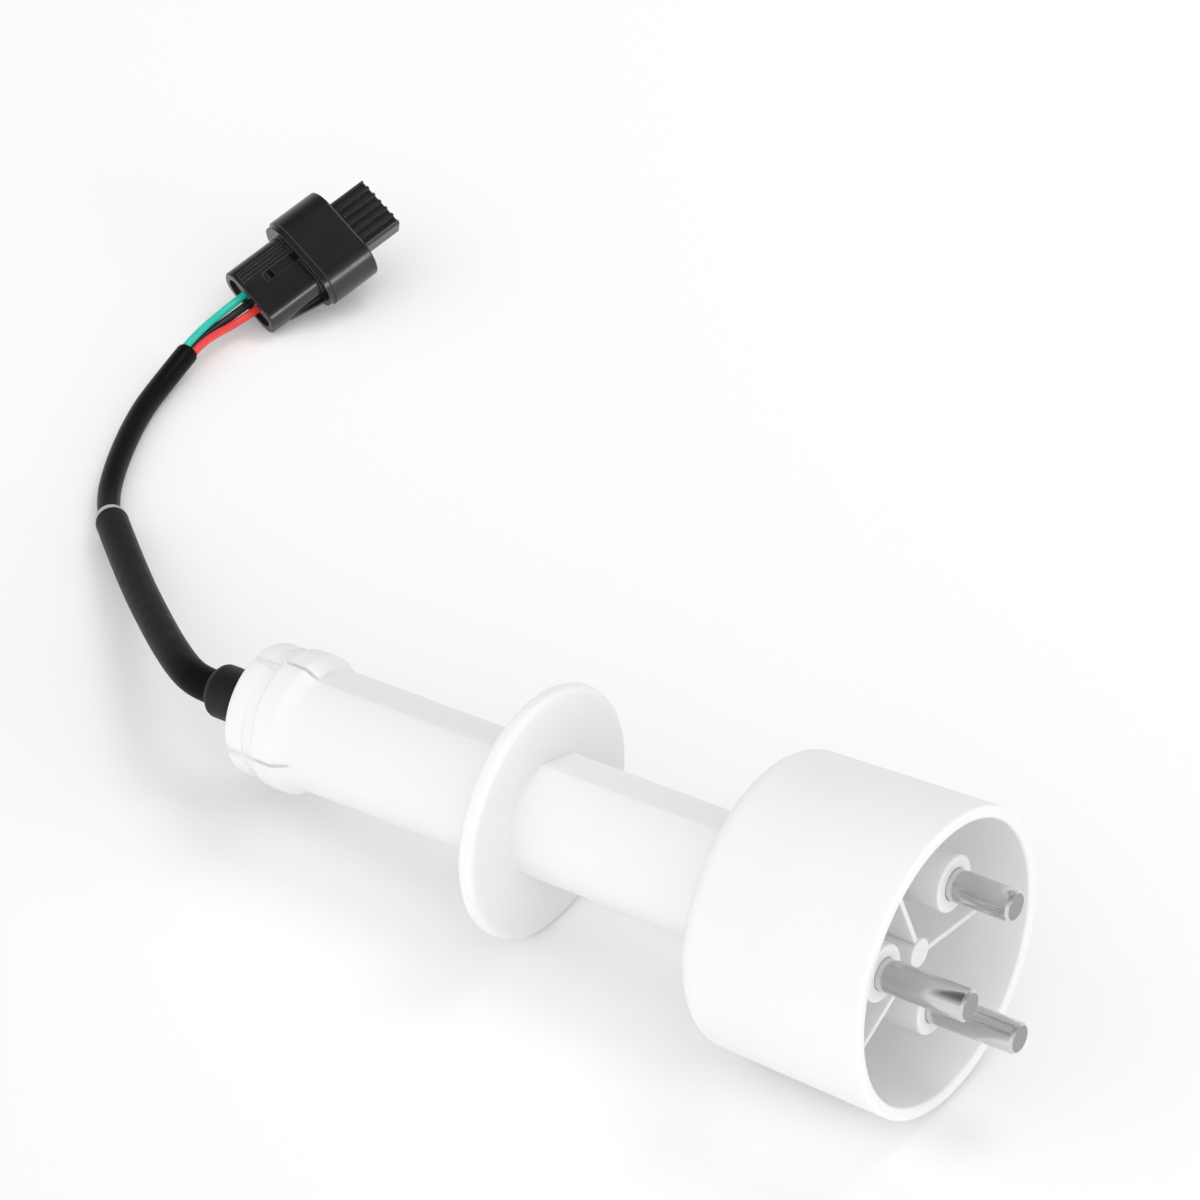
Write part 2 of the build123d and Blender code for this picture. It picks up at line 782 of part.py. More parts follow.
# Wires: bunched at the jacket's end, side by side where they enter the seal
jacket_end = jacket_route[-1]
jacket_direction = (jacket_route[-1] - jacket_route[-2]).normalized()
wire_side = jacket_direction.cross(Vector(0, 0, 1)).normalized()
wire_up = wire_side.cross(jacket_direction)
wire_step = 360 / len(lead_colours)
wire_turns = (green_wire_angle, green_wire_angle - 2 * wire_step, green_wire_angle - wire_step)
for colour, turn, spot in zip(lead_colours, wire_turns, contact_places):
    start = (
        jacket_end
        + wire_side * wire_trefoil_radius * cos(radians(turn))
        + wire_up * wire_trefoil_radius * sin(radians(turn))
    )
    wire_route = [
        start,
        start + jacket_direction * wire_exit,
        connector.from_local_coords((*spot, -wire_approach)),
        connector.from_local_coords((*spot, contact_back)),
    ]
    wire = cord(f"{colour}_wire", wire_route, wire_diameter)
    wire.part.label = f"{colour}_wire"
    export_step(wire.part, f"parts/{colour}_wire.step")

print("tilt", round(degrees(tilt), 3), "axis height", round(axis_height, 3))
print("flange front at x", round(origin_x, 3), "connector height", round(connector_height, 3))
print("boot end", cable_start)
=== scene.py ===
from math import cos, pi, radians, sin

import bmesh
import bpy
import numpy as np
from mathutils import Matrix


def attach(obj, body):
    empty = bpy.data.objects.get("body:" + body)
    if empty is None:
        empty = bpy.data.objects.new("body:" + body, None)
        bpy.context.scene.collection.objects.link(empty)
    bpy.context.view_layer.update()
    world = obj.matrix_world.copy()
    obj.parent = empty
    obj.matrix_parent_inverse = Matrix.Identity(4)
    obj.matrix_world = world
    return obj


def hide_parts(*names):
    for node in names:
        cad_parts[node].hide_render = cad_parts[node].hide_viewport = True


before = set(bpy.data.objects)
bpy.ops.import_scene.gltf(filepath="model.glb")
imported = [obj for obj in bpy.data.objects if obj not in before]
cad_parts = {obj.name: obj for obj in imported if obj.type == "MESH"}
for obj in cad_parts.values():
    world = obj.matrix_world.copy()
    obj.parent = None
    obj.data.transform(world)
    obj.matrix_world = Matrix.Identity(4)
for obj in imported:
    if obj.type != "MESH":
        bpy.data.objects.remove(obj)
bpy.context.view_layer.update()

scene = bpy.context.scene
scene.view_settings.view_transform = "Standard"

# Camera. A long lens looks down on the probe from the side of its electrodes, as a
# product photographer would stand over a white table.
camera_data = bpy.data.cameras.new("camera")
camera_data.sensor_width = 36.0
camera_data.lens = 191.4
camera = bpy.data.objects.new("camera", camera_data)
camera.location = (0.538836, -0.767499, 0.791091)
camera.rotation_euler = (radians(90 - 37.105), 0, radians(35.073))
scene.collection.objects.link(camera)
scene.camera = camera

# Shrink sleeve. The pigtail leaves the rubber boot in a thick satin shrink tube, which comes
# down to the table in one gentle curve. Its cut end is slightly flared and turned in.
MM = 0.001
cable_start = (-92.365, 0.0, 19.844)
sleeve_route = [
    cable_start,
    (-95.557, 0.0, 19.617),
    (-99.9, 1.3, 19.1),
    (-106.0, 5.1, 17.7),
    (-117.0, 13.4, 14.5),
    (-138.5, 31.0, 8.4),
    (-157.7, 48.0, 3.9),
]
sleeve_radius = 3.5
sleeve_lip = 0.3
jacket_radius = 2.45


def centreline(name, route):
    """The smooth line of a cord: a quadratic NURBS spline whose control points are the route."""
    data = bpy.data.curves.new(name, "CURVE")
    data.dimensions = "3D"
    data.resolution_u = 24
    spline = data.splines.new("NURBS")
    spline.points.add(len(route) - 1)
    for point, place in zip(spline.points, route):
        point.co = (*(np.array(place) * MM), 1)
    spline.order_u = 3
    spline.use_endpoint_u = True
    holder = bpy.data.objects.new(name, data)
    line = bpy.data.meshes.new_from_object(holder)
    points = np.empty(3 * len(line.vertices))
    line.vertices.foreach_get("co", points)
    bpy.data.objects.remove(holder)
    bpy.data.meshes.remove(line)
    return points.reshape(-1, 3)


def line_length(line):
    """The length of a line in millimetres: the sum of its steps."""
    return float(np.linalg.norm(np.diff(line, axis=0), axis=1).sum()) / MM


def carried_frames(line):
    """Two unit cross directions of a line, carried along it with the least turn: each step
    takes away what points along the new tangent."""
    tangents = np.gradient(line, axis=0)
    tangents /= np.linalg.norm(tangents, axis=1)[:, None]
    side = np.empty_like(line)
    side[0] = np.cross(tangents[0], (0, 0, 1))
    for i in range(1, len(line)):
        side[i] = side[i - 1] - tangents[i] * (side[i - 1] @ tangents[i])
    side /= np.linalg.norm(side, axis=1)[:, None]
    return side, np.cross(side, tangents)


def mesh_piece(name, vertices, faces, sharp=32):
    """One mesh object at the origin, merged, facing outward, smooth but for its sharp edges."""
    mesh = bpy.data.meshes.new(name)
    mesh.from_pydata(np.asarray(vertices).tolist(), [], [tuple(f) for f in faces])
    work = bmesh.new()
    work.from_mesh(mesh)
    bmesh.ops.remove_doubles(work, verts=work.verts, dist=2e-7)
    bmesh.ops.dissolve_degenerate(work, edges=work.edges, dist=1e-8)
    bmesh.ops.recalc_face_normals(work, faces=work.faces)
    work.to_mesh(mesh)
    work.free()
    mesh.polygons.foreach_set("use_smooth", np.ones(len(mesh.polygons), bool))
    mesh.set_sharp_from_angle(angle=radians(sharp))
    piece = bpy.data.objects.new(name, mesh)
    scene.collection.objects.link(piece)
    return piece


def grid_faces(rows, columns, closed_rows=False):
    """Quads of a grid of points whose columns go round, and whose rows may go round too."""
    i = np.arange(rows if closed_rows else rows - 1)[:, None]
    j = np.arange(columns)[None, :]
    here, there = i * columns, ((i + 1) % rows) * columns
    after = (j + 1) % columns
    quads = np.stack([here + j, here + after, there + after, there + j], -1)
    return quads.reshape(-1, 4).tolist()


def tube_along(name, line, profile, around=48):
    """A round tube: at each (distance, radius) of the profile a ring stands across the line."""
    steps = np.linalg.norm(np.diff(line, axis=0), axis=1)
    travelled = np.concatenate([[0], np.cumsum(steps)])
    distance, radius = np.array(profile).T * MM
    side, up = carried_frames(line)

    def at(values):
        return np.stack([np.interp(distance, travelled, values[:, k]) for k in range(3)], -1)

    turn = np.linspace(0, 2 * pi, around, endpoint=False)
    centre, side, up = at(line), at(side), at(up)
    ring = side[:, None] * np.cos(turn)[None, :, None] + up[:, None] * np.sin(turn)[None, :, None]
    points = centre[:, None] + radius[:, None, None] * ring
    return mesh_piece(name, points.reshape(-1, 3), grid_faces(len(distance), around))


def stretch(start, end, radius, spacing=0.6):
    """Profile rows of an even tube from start to end."""
    count = max(2, int(round((end - start) / spacing)) + 1)
    return [(d, radius) for d in np.linspace(start, end, count)]


def new_finish(name, colour, roughness, specular=0.5):
    """A Principled material, returned with its node tree and shader."""
    material = bpy.data.materials.new(name)
    material.use_nodes = True
    tree = material.node_tree
    shader = tree.nodes["Principled BSDF"]
    shader.inputs["Base Color"].default_value = (*colour, 1)
    shader.inputs["Roughness"].default_value = roughness
    shader.inputs["Specular IOR Level"].default_value = specular
    material.diffuse_color = (*colour, 1)
    return material, tree, shader


def noise(tree, scale, detail=2.0, stretch_by=(1, 1, 1), turn=(0, 0, 0)):
    """Noise on the piece's own coordinates, stretched and turned."""
    place = tree.nodes.new("ShaderNodeTexCoord")
    mapping = tree.nodes.new("ShaderNodeMapping")
    mapping.inputs["Scale"].default_value = stretch_by
    mapping.inputs["Rotation"].default_value = turn
    texture = tree.nodes.new("ShaderNodeTexNoise")
    texture.inputs["Scale"].default_value = scale
    texture.inputs["Detail"].default_value = detail
    tree.links.new(place.outputs["Object"], mapping.inputs["Vector"])
    tree.links.new(mapping.outputs["Vector"], texture.inputs["Vector"])
    return texture.outputs["Fac"]


def between(tree, factor, low, high, first=0.0, last=1.0):
    """Maps a factor, as it goes from first to last, to numbers from low to high."""
    span = tree.nodes.new("ShaderNodeMapRange")
    span.inputs["From Min"].default_value = first
    span.inputs["From Max"].default_value = last
    span.inputs["To Min"].default_value = low
    span.inputs["To Max"].default_value = high
    tree.links.new(factor, span.inputs["Value"])
    return span.outputs["Result"]


def tinted(tree, factor, first, second):
    """A colour that drifts from the first to the second with a factor."""
    mix = tree.nodes.new("ShaderNodeMix")
    mix.data_type = "RGBA"
    mix.inputs[6].default_value = (*first, 1)
    mix.inputs[7].default_value = (*second, 1)
    tree.links.new(factor, mix.inputs[0])
    return mix.outputs[2]


def bump(tree, shader, height, distance, strength=1.0, after=None):
    """Raises the surface by a height pattern, in metres at full strength."""
    node = tree.nodes.new("ShaderNodeBump")
    node.inputs["Strength"].default_value = strength
    node.inputs["Distance"].default_value = distance
    tree.links.new(height, node.inputs["Height"])
    if after is not None:
        tree.links.new(after, node.inputs["Normal"])
    tree.links.new(node.outputs["Normal"], shader.inputs["Normal"])
    return node.outputs["Normal"]


sleeve_line = centreline("sleeve_line", sleeve_route)
sleeve_length = line_length(sleeve_line)
sleeve = tube_along(
    "shrink_sleeve",
    sleeve_line,
    [(0, 0), (0, sleeve_radius - 0.1), (0.15, sleeve_radius)]
    + stretch(0.6, sleeve_length - 1.2, sleeve_radius)
    + [
        (sleeve_length - 0.5, sleeve_radius + 0.03),
        (sleeve_length - 0.15, sleeve_radius - 0.05),
        (sleeve_length, sleeve_radius - sleeve_lip),
        (sleeve_length, jacket_radius + 0.3),
        (sleeve_length - 0.4, jacket_radius + 0.1),
        (sleeve_length - 0.4, 0),
    ],
)
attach(sleeve, "root")
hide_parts("lower_sleeve")

# The low index keeps the black deep where the tube is seen at a slant
sleeve_black, tree, shader = new_finish("shrink_sleeve_black", (0.006, 0.006, 0.0065), 0.4)
shader.inputs["IOR"].default_value = 1.13
tree.links.new(between(tree, noise(tree, 350, 3), 0.32, 0.46), shader.inputs["Roughness"])
waves = bump(tree, shader, noise(tree, 160, 2), 0.00025, 0.5)
bump(tree, shader, noise(tree, 2200, 2), 0.00002, 0.6, after=waves)
sleeve.data.materials.append(sleeve_black)

# Lining. A grey adhesive liner shows as a short round-edged ring where the sleeve ends. It
# was squeezed out over the jacket when the sleeve was shrunk on.
jacket_route = [
    sleeve_route[-1],
    (-163.231, 52.897, 2.604),
    (-170.8, 65.4, 2.5),
    (-178.2, 82.6, 2.6),
    (-181.2, 96.4, 3.2),
    (-182.0, 105.0, 4.8),
]
liner_reach = 1.9
jacket_line = centreline("jacket_line", jacket_route)
liner = tube_along(
    "sleeve_lining",
    jacket_line,
    [
        (0, 0),
        (0, jacket_radius + 0.75),
        (0.1, jacket_radius + 0.88),
        (liner_reach - 0.3, jacket_radius + 0.82),
        (liner_reach - 0.08, jacket_radius + 0.7),
        (liner_reach, jacket_radius + 0.45),
        (liner_reach, 0),
    ],
)
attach(liner, "root")
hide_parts("sleeve_liner")

lining_grey, tree, shader = new_finish("lining_grey", (0.5, 0.5, 0.505), 0.5)
tree.links.new(
    tinted(tree, noise(tree, 900, 3), (0.44, 0.44, 0.445), (0.56, 0.56, 0.56)),
    shader.inputs["Base Color"],
)
bump(tree, shader, noise(tree, 1500, 2), 0.00005, 0.6)
liner.data.materials.append(lining_grey)

# Jacket. The second half of the cable is a thinner, smoother round jacket, which comes out of
# the sleeve, lies on the table and ends in a rounded edge where the wires leave it.
jacket_rounding = 0.9
jacket_length = line_length(jacket_line)
jacket_turns = np.linspace(0, pi / 2, 9)
jacket = tube_along(
    "round_jacket",
    jacket_line,
    [(0, 0)]
    + stretch(0, jacket_length - jacket_rounding, jacket_radius)
    + [
        (
            jacket_length - jacket_rounding + jacket_rounding * sin(t),
            jacket_radius - jacket_rounding + jacket_rounding * cos(t),
        )
        for t in jacket_turns
    ]
    + [(jacket_length, 0)],
)
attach(jacket, "root")
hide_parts("cable_jacket")

jacket_black, tree, shader = new_finish("jacket_black", (0.005, 0.005, 0.0055), 0.36)
shader.inputs["IOR"].default_value = 1.16
tree.links.new(between(tree, noise(tree, 500, 3), 0.28, 0.4), shader.inputs["Roughness"])
bump(tree, shader, noise(tree, 2500, 2), 0.00002, 0.5)
jacket.data.materials.append(jacket_black)

# Wires. Three PVC insulated wires, teal green, black and red, lie in a bunch where the
# jacket ends and spread into the three holes of the connector's seal.
wire_radius = 0.875
wire_bunch_radius = 1.25
wire_pitch = 2.2
wire_exit, wire_approach, wire_past_seal = 4.5, 4.0, 4.4
connector_origin = np.array([-181.5, 125.75, 5.832])
heading, pitch, roll = radians(73.0), radians(17.0), radians(27.5)
connector_z = np.array([cos(heading) * cos(pitch), sin(heading) * cos(pitch), sin(pitch)])
level_side = np.array([-sin(heading), cos(heading), 0])
connector_x = level_side * cos(roll) + np.cross(connector_z, level_side) * sin(roll)
connector_y = np.cross(connector_z, connector_x)
# Colour, place in the bunch, place across the seal, and the two shades it drifts between
wire_kinds = (
    ("green", 117, wire_pitch, (0.03, 0.62, 0.49), (0.02, 0.54, 0.42)),
    ("black", -123, 0, (0.012, 0.012, 0.013), (0.008, 0.008, 0.008)),
    ("red", -3, -wire_pitch, (0.88, 0.06, 0.055), (0.78, 0.04, 0.04)),
)


def connector_point(x, y, z):
    """A point of the connector: x across, y out of its top face, z toward the tongue."""
    return connector_origin + connector_x * x + connector_y * y + connector_z * z


jacket_end = np.array(jacket_route[-1])
jacket_out = jacket_end - np.array(jacket_route[-2])
jacket_out /= np.linalg.norm(jacket_out)
bunch_side = np.cross(jacket_out, (0, 0, 1))
bunch_side /= np.linalg.norm(bunch_side)
bunch_up = np.cross(bunch_side, jacket_out)
wires = []
for colour, turn, place, light, dark in wire_kinds:
    start = jacket_end + wire_bunch_radius * (
        bunch_side * cos(radians(turn)) + bunch_up * sin(radians(turn))
    )
    wire_route = [
        start,
        start + jacket_out * wire_exit,
        connector_point(place, 0, -wire_approach),
        connector_point(place, 0, wire_past_seal),
    ]
    line = centreline(f"{colour}_line", wire_route)
    length = line_length(line)
    wire = tube_along(
        f"{colour}_insulation",
        line,
        [(0, 0)] + stretch(0, length, wire_radius, 0.3) + [(length, 0)],
        around=32,
    )
    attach(wire, "root")
    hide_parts(f"{colour}_wire")
    insulation, tree, shader = new_finish(wire.name, light, 0.32)
    tree.links.new(
        tinted(tree, noise(tree, 260, 2), light, dark), shader.inputs["Base Color"]
    )
    bump(tree, shader, noise(tree, 1800, 2), 0.00002, 0.5)
    wire.data.materials.append(insulation)
    wires.append(wire)

# Probe body. One white injection moulding: hollow stem, thin stop flange, slotted collar
# and a thin-walled cup. It is a turned outline with one flat along the stem.
tilt = radians(4.0764)
axis_origin = np.array([-11.57, 0.0, 25.602])
stem_radius, bore_radius = 12.5, 10.0
flat_distance, flat_angle = 11.46, 72.7
flat_half = np.degrees(np.arccos(flat_distance / stem_radius))
collar_back, ring_front, groove_front, lock_front, taper_front = -69.0, -64.3, -61.6, -56.6, -53.5
ring_radius, groove_radius, lock_radius = 13.4, 13.0, 14.2
plug_rest, plug_rest_radius = -67.4, 11.3
flange_back, flange_front, flange_radius = -3.6, 0.0, 25.5
cup_back, cup_floor, ledge, rim_front = 49.0, 51.6, 64.0, 90.0
cup_back_radius, rim_radius, cup_wall = 29.3, 30.6, 2.6
ledge_outside, ledge_inside = 27.18, 24.8
slot_angles = 97.5 + 90 * np.arange(4)
slot_floor, slot_width, lock_slot_width = 12.3, 2.35, 0.85
slot_half = np.degrees(slot_width / 2 / ring_radius)
lock_slot_half = np.degrees(lock_slot_width / 2 / lock_radius)
lock_slot_shift = -3.5
cut_from_radius, cut_to_radius = 11.0, 13.0
just_before = 0.005


def probe_point(x, across, up):
    """Millimetres along, across (+Y) and up from the probe's axis, to the row frame in metres:
    the axis turned up by the tilt and set at its origin."""
    x, across, up = np.broadcast_arrays(x, across, up)
    return MM * np.stack(
        [
            axis_origin[0] + x * cos(tilt) - up * sin(tilt),
            axis_origin[1] + across,
            axis_origin[2] + x * sin(tilt) + up * cos(tilt),
        ],
        -1,
    )


def rounded(corners, steps=9, closed=True):
    """Corners (x, r, rounding) to an outline: each corner is an arc tangent to its two sides,
    between two support points that keep the sides flat. An arc takes at most most_of_side of
    the shorter side, and points stand off it by support_share of it, or by support_reach."""
    most_of_side, support_share, support_reach = 0.72, 0.25, 0.1
    points = []
    count = len(corners)
    for i, (x, r, rounding) in enumerate(corners):
        here = np.array([x, r], float)
        if rounding <= 0 or (not closed and i in (0, count - 1)):
            points.append(here)
            continue
        before = np.array(corners[i - 1][:2], float) - here
        after = np.array(corners[(i + 1) % count][:2], float) - here
        reach = min(np.linalg.norm(before), np.linalg.norm(after))
        before /= np.linalg.norm(before)
        after /= np.linalg.norm(after)
        half = np.arccos(np.clip(before @ after, -1, 1)) / 2
        tangent = min(rounding / np.tan(half), most_of_side * reach)
        radius = tangent * np.tan(half)
        middle = before + after
        centre = here + middle / np.linalg.norm(middle) * radius / np.sin(half)
        first, last = here + before * tangent - centre, here + after * tangent - centre
        sweep = pi - 2 * half
        margin = min(support_share * tangent, support_reach)
        if tangent + margin < reach / 2:
            points.append(here + before * (tangent + margin))
        for s in np.linspace(0, 1, steps):
            arc = (np.sin((1 - s) * sweep) * first + np.sin(s * sweep) * last) / np.sin(sweep)
            points.append(centre + arc)
        if tangent + margin < reach / 2:
            points.append(here + after * (tangent + margin))
    return np.array(points)


def turned(outline, angles, centre=(0.0, 0.0), shape=None):
    """Points of an outline (x, r) carried round an axis parallel to the probe's. A shape
    function may change the radius by place along and by angle."""
    x = outline[:, 0][:, None] + 0 * angles[None, :]
    r = outline[:, 1][:, None] + 0 * angles[None, :]
    if shape is not None:
        r = shape(x, r, angles[None, :])
    return probe_point(x, centre[0] + r * np.cos(angles), centre[1] + r * np.sin(angles))


def ring_angles(count, edges=()):
    """Even angles round, with a close pair at each sharp edge, in radians."""
    close = 0.04
    degrees = np.concatenate(
        [np.linspace(0, 360, count, endpoint=False)]
        + [np.array([e - close, e + close]) % 360 for e in edges]
    )
    return np.radians(np.unique(np.round(degrees, 4)))


def apart(angles, middle):
    """Degrees between angles in radians and a middle in degrees, the short way round."""
    return np.abs((np.degrees(angles) - middle + 180) % 360 - 180)


def body_shape(x, r, angles):
    """Cuts the flat and the slots into the turned outline: over the flat, the radius is the
    flat's distance over the cosine of the angle from its middle, and in a slot it is the
    slot's floor. The walls inside the stem, and the flange, stay round."""
    off = apart(angles, flat_angle)
    well_off = 60
    on_flat = flat_distance / np.cos(np.radians(np.minimum(off, well_off)))
    on_stem = ((x > taper_front) & (x < flange_back)) | ((x > flange_front) & (x < cup_back))
    outside = r > cut_from_radius
    flat_cut = on_stem & outside & (off < flat_half) & (r < cut_to_radius)
    r = np.where(flat_cut, np.minimum(r, on_flat), r)
    slots_end = groove_front - just_before
    for middle in slot_angles:
        in_ring = (x < slots_end) & (apart(angles, middle) < slot_half)
        in_lock = (
            (x > slots_end)
            & (x < taper_front)
            & (apart(angles, middle + lock_slot_shift) < lock_slot_half)
        )
        r = np.where((in_ring | in_lock) & outside, np.minimum(r, slot_floor), r)
    return r


body_outline = rounded(
    [
        (collar_back, plug_rest_radius, 0.25),
        (collar_back, ring_radius, 1.5),
        (ring_front, ring_radius, 0.3),
        (ring_front, groove_radius, 0.1),
        (groove_front, groove_radius, 0.2),
        (groove_front, lock_radius, 0.7),
        (lock_front, lock_radius, 1.6),
        (taper_front, stem_radius, 3.0),
        (flange_back, stem_radius, 0.5),
        (flange_back, flange_radius, 1.3),
        (flange_front, flange_radius, 1.3),
        (flange_front, stem_radius, 0.5),
        (cup_back, stem_radius, 0.6),
        (cup_back, cup_back_radius, 3.75),
        (rim_front, rim_radius, 0.6),
        (rim_front, rim_radius - cup_wall, 0.7),
        (ledge, ledge_outside, 0),
        (ledge, ledge_inside, 0),
        (cup_floor, ledge_inside, 0),
        (cup_floor, bore_radius, 0),
        (plug_rest, bore_radius, 0),
        (plug_rest, plug_rest_radius, 0),
    ]
)
body_edges = [flat_angle - flat_half, flat_angle + flat_half]
for middle in slot_angles:
    body_edges += [middle - slot_half, middle + slot_half]
    body_edges += [
        middle + lock_slot_shift - lock_slot_half,
        middle + lock_slot_shift + lock_slot_half,
    ]
body_angles = ring_angles(288, body_edges)
body_points = turned(body_outline, body_angles, shape=body_shape)
body = mesh_piece(
    "body_moulding",
    body_points.reshape(-1, 3),
    grid_faces(len(body_outline), len(body_angles), closed_rows=True),
    sharp=24,
)
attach(body, "root")
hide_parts("probe_body")

white_plastic, tree, shader = new_finish("white_moulded_plastic", (0.9, 0.9, 0.895), 0.36)
shader.inputs["Subsurface Weight"].default_value = 0.3
shader.inputs["Subsurface Radius"].default_value = (1.0, 0.95, 0.9)
shader.inputs["Subsurface Scale"].default_value = 0.003
tree.links.new(
    tinted(tree, noise(tree, 45, 3), (0.91, 0.91, 0.907), (0.89, 0.89, 0.886)),
    shader.inputs["Base Color"],
)
tree.links.new(between(tree, noise(tree, 130, 3), 0.3, 0.42), shader.inputs["Roughness"])
moulded = bump(tree, shader, noise(tree, 90, 2), 0.00008, 0.25)
bump(tree, shader, noise(tree, 3000, 2), 0.00001, 0.4, after=moulded)
body.data.materials.append(white_plastic)

# Electrode carrier. The white insert glued into the cup: a web, three bosses that hold the
# electrodes, a middle post and three thin ribs that fall away toward the wall.
electrode_angles = (40.9, 160.9, 280.9)
electrode_pitch = 14.2
web_front, boss_front, post_front = 67.5, 84.7, 83.8
boss_radius, boss_foot_radius, socket_radius = 5.7, 6.7, 3.22
post_radius, post_foot_radius = 2.9, 3.7
rib_half, rib_edge, rib_front, rib_fall, rib_fall_run = 0.58, 0.22, 83.35, 4.0, 24.7
rib_start, rib_middle, rib_short_of_wall, rib_end_gap, rib_turn = 1.0, 80.0, 0.15, 0.12, 60
in_web = 66.6
on_web = web_front + 0.01
carrier_gap = 0.1
cup_slope = (rim_radius - cup_back_radius) / (rim_front - cup_back)


def cup_wall_inside(x):
    """The cup's inner radius: its outer one, which grows evenly toward the rim, less the wall."""
    return cup_back_radius + cup_slope * (x - cup_back) - cup_wall


vertices, faces = [], []


def add_part(points, quads):
    """Adds a grid of points and its faces to the lists of the piece being put together."""
    offset = sum(len(v) for v in vertices)
    vertices.append(points.reshape(-1, 3))
    faces.extend([[i + offset for i in quad] for quad in quads])


def electrode_place(angle):
    """Where an electrode's axis stands across the probe: on its pitch circle, at an angle."""
    return electrode_pitch * cos(radians(angle)), electrode_pitch * sin(radians(angle))


round_angles = ring_angles(96)
wide_angles = ring_angles(192)
web_outline = rounded(
    [
        (ledge, 0, 0),
        (ledge, cup_wall_inside(ledge) - carrier_gap, 0.2),
        (web_front, cup_wall_inside(web_front) - carrier_gap, 0.3),
        (web_front, 0, 0),
    ],
    closed=False,
)
add_part(turned(web_outline, wide_angles), grid_faces(len(web_outline), len(wide_angles)))
boss_outline = rounded(
    [
        (in_web, boss_foot_radius, 0),
        (on_web, boss_foot_radius, 0),
        (on_web, boss_radius, 0.9),
        (boss_front, boss_radius, 0.5),
        (boss_front, socket_radius, 0.15),
        (in_web, socket_radius, 0),
    ]
)
for angle in electrode_angles:
    add_part(
        turned(boss_outline, round_angles, electrode_place(angle)),
        grid_faces(len(boss_outline), len(round_angles), closed_rows=True),
    )
post_outline = rounded(
    [
        (in_web, 0, 0),
        (in_web, post_foot_radius, 0),
        (on_web, post_foot_radius, 0),
        (on_web, post_radius, 0.7),
        (post_front, post_radius, 0.35),
        (post_front, 0, 0),
    ],
    closed=False,
)
add_part(turned(post_outline, round_angles), grid_faces(len(post_outline), len(round_angles)))

# Each rib is its section, told by the drop from its ridge, carried from the post to the wall
rib_section = rounded(
    [
        (in_web, -rib_half, 0),
        (0.0, -rib_half, rib_edge),
        (0.0, rib_half, rib_edge),
        (in_web, rib_half, 0),
    ],
    steps=5,
    closed=False,
)
rib_reach = np.linspace(0, 1, 24)
rib_run = cup_wall_inside(rib_middle) - rib_start - rib_short_of_wall
for angle in electrode_angles:
    turn = radians(angle + rib_turn)
    drop = rib_section[:, 0][None, :]
    foot = drop == in_web
    out = rib_start + rib_reach[:, None] * rib_run
    ridge = rib_front - rib_fall * np.clip(out - post_radius, 0, None) / rib_fall_run
    x = np.where(foot, in_web, ridge - drop)
    out = np.where(rib_reach[:, None] == 1, cup_wall_inside(x) - rib_end_gap, out + 0 * x)
    thick = rib_section[:, 1][None, :] + 0 * x
    first_end = list(range(len(rib_section)))
    last_end = [(len(rib_reach) - 1) * len(rib_section) + k for k in first_end]
    add_part(
        probe_point(
            x, out * cos(turn) - thick * sin(turn), out * sin(turn) + thick * cos(turn)
        ),
        grid_faces(len(rib_reach), len(rib_section)) + [first_end, last_end],
    )
carrier = mesh_piece("carrier_moulding", np.concatenate(vertices), faces)
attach(carrier, "root")
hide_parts("electrode_carrier")
carrier.data.materials.append(white_plastic)

# Electrodes. Three lengths of quarter-inch stainless rod, turned to length with a broken
# edge, each pushed into its boss against a seal. The cut ends are duller than the sides.
rod_radius, rod_edge = 3.175, 0.55
stud_radius, stud_back = 1.95, 58.5
tips = {"short_electrode": 98.0, "near_electrode": 103.3, "far_electrode": 103.3}
stainless, tree, shader = new_finish("turned_stainless", (0.68, 0.68, 0.685), 0.16)
shader.inputs["Metallic"].default_value = 1.0
lathe = noise(tree, 60, 2, stretch_by=(60, 1, 1), turn=(0, tilt, 0))
drawn = noise(tree, 900, 2, stretch_by=(0.04, 1, 1), turn=(0, tilt, 0))
tree.links.new(between(tree, drawn, 0.1, 0.24), shader.inputs["Roughness"])
tree.links.new(
    tinted(tree, noise(tree, 240, 3), (0.72, 0.72, 0.725), (0.62, 0.62, 0.625)),
    shader.inputs["Base Color"],
)
grooves = bump(tree, shader, lathe, 0.00002, 0.35)
bump(tree, shader, drawn, 0.00003, 0.5, after=grooves)
cut_steel, tree, shader = new_finish("cut_stainless_end", (0.37, 0.37, 0.375), 0.5)
shader.inputs["Metallic"].default_value = 1.0
bump(tree, shader, noise(tree, 1600, 3), 0.00003, 0.5)
along = probe_point(1.0, 0, 0) - probe_point(0.0, 0, 0)
along /= np.linalg.norm(along)
for (node, tip), angle in zip(tips.items(), electrode_angles):
    rod_outline = rounded(
        [
            (stud_back, 0, 0),
            (stud_back, stud_radius, 0.2),
            (web_front, stud_radius, 0),
            (web_front, rod_radius, 0.1),
            (tip - rod_edge, rod_radius, 0.12),
            (tip, rod_radius - rod_edge, 0.12),
            (tip, 0, 0),
        ],
        closed=False,
        steps=6,
    )
    rod = mesh_piece(
        node.replace("electrode", "rod"),
        turned(rod_outline, round_angles, electrode_place(angle)).reshape(-1, 3),
        grid_faces(len(rod_outline), len(round_angles)),
    )
    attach(rod, "root")
    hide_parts(node)
    rod.data.materials.append(stainless)
    rod.data.materials.append(cut_steel)
    middles = np.empty(3 * len(rod.data.polygons))
    rod.data.polygons.foreach_get("center", middles)
    past_tip = (middles.reshape(-1, 3) - probe_point(tip, 0, 0)) @ along
    rod.data.polygons.foreach_set("material_index", (past_tip > -0.02 * MM).astype(np.int32))

